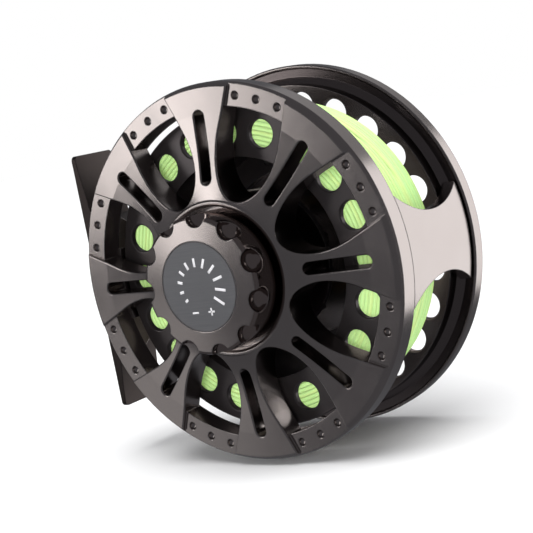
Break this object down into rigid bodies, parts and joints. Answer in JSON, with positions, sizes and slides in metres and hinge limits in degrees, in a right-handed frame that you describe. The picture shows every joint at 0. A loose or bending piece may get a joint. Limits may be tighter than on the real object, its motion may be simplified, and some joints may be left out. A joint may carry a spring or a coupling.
{
  "type": "fly reel",
  "caption": "Large-arbor fly reel with a spoked front plate, scalloped drag knob, perforated spool with a palming rim, lime line and a winding handle.",
  "frame": {"origin": "middle of the reel foot's seat face, which lies on the rod's reel seat", "axes": "+Y along the spindle from the drag knob to the handle, -X out of the foot's seat face, +Z along the foot and the rod"},
  "size_m": [0.0958, 0.069, 0.0876],
  "materials": {
    "gunmetal_anodise": "fine bead-blasted dark gunmetal anodise, satin",
    "black_anodise": "black satin anodise",
    "foot_anodise": "dark satin anodise",
    "badge_face": "finely brushed grey disc with an etched tension scale",
    "screw_steel": "blackened steel",
    "bearing_steel": "ground stainless steel",
    "spring_steel": "oiled spring steel",
    "brass": "turned brass",
    "carbon_disc": "woven carbon friction disc, dry matt",
    "plain_aluminium": "clear anodise, satin",
    "handle_plastic": "matt black moulded plastic",
    "backing_braid": "off-white braided polyester",
    "line_coating": "smooth fluorescent lime coating, softly glossy"
  },
  "bodies": {
    "root": {"frame_plate": "gunmetal_anodise", "side_pillar": "gunmetal_anodise", "foot_pillar": "gunmetal_anodise", "pillar_screws": "screw_steel", "reel_foot": "foot_anodise", "foot_screws": "screw_steel", "spindle": "bearing_steel", "drag_cover": "gunmetal_anodise", "cover_screws": "screw_steel", "detent_spring": "spring_steel", "bearing_sleeve": "bearing_steel", "inner_races": "bearing_steel", "pawl_post": "screw_steel", "pawl_spring": "spring_steel"},
    "drag_knob": {"drag_knob": "gunmetal_anodise", "knob_badge": "badge_face", "knob_nut": "brass", "detent_ring": "plain_aluminium"},
    "pressure": {"pressure_plate": "bearing_steel", "thrust_pins": "bearing_steel", "thrust_ring": "brass", "spring_washers": "spring_steel"},
    "rotor": {"drag_rotor": "plain_aluminium", "front_friction_disc": "carbon_disc", "rear_friction_disc": "carbon_disc", "clutch_shell": "bearing_steel", "clutch_rollers": "bearing_steel"},
    "detent": {"detent_ball": "bearing_steel"},
    "spool": {"spool_drum": "black_anodise", "spool_plate": "black_anodise", "joint_screws": "screw_steel", "backing": "backing_braid", "fly_line": "line_coating", "drive_sleeve": "bearing_steel", "outer_races": "bearing_steel", "bearing_balls": "bearing_steel", "click_gear": "brass", "handle_post": "screw_steel", "counterweight": "gunmetal_anodise", "spool_cap": "black_anodise"},
    "handle": {"handle_knob": "handle_plastic"},
    "button": {"release_button": "plain_aluminium"},
    "latch": {"latch_plate": "bearing_steel"},
    "pawl": {"click_pawl": "brass"}
  },
  "joints": [
    {"name": "spool_spin", "type": "hinge", "parent": "root", "child": "spool", "pos_m": [0.052, 0, 0], "axis": [0, 1, 0], "continuous": true},
    {"name": "handle_spin", "type": "hinge", "parent": "spool", "child": "handle", "pos_m": [0.03408, 0, 0.02099], "axis": [0, 1, 0], "continuous": true},
    {"name": "drag_knob_turn", "type": "hinge", "parent": "root", "child": "drag_knob", "pos_m": [0.052, 0, 0], "axis": [0, 1, 0], "range_deg": [0, 300]},
    {"name": "pressure_slide", "type": "slide", "parent": "root", "child": "pressure", "axis": [0, 1, 0], "range_m": [0, 0.00051]},
    {"name": "rotor_spin", "type": "hinge", "parent": "root", "child": "rotor", "pos_m": [0.052, 0, 0], "axis": [0, 1, 0], "continuous": true},
    {"name": "detent_slide", "type": "slide", "parent": "root", "child": "detent", "axis": [0, 1, 0], "range_m": [0, 0.0003], "stiffness_N_per_m": 0.5},
    {"name": "pawl_rock", "type": "hinge", "parent": "root", "child": "pawl", "pos_m": [0.052, 0, 0.01545], "axis": [0, 1, 0], "range_deg": [-14, 14], "stiffness_Nm_per_rad": 0.000002},
    {"name": "button_press", "type": "slide", "parent": "spool", "child": "button", "axis": [0, -1, 0], "range_m": [0, 0.00091], "stiffness_N_per_m": 150},
    {"name": "latch_slide", "type": "slide", "parent": "spool", "child": "latch", "axis": [0, 0, -1], "range_m": [0, 0.00091]}
  ],
  "couplings": [
    {"joint": "pressure_slide", "follows": "drag_knob_turn", "m_per_rad": 0.0000954},
    {"joint": "rotor_spin", "follows": "spool_spin", "ratio": 1},
    {"joint": "latch_slide", "follows": "button_press", "ratio": 1}
  ]
}
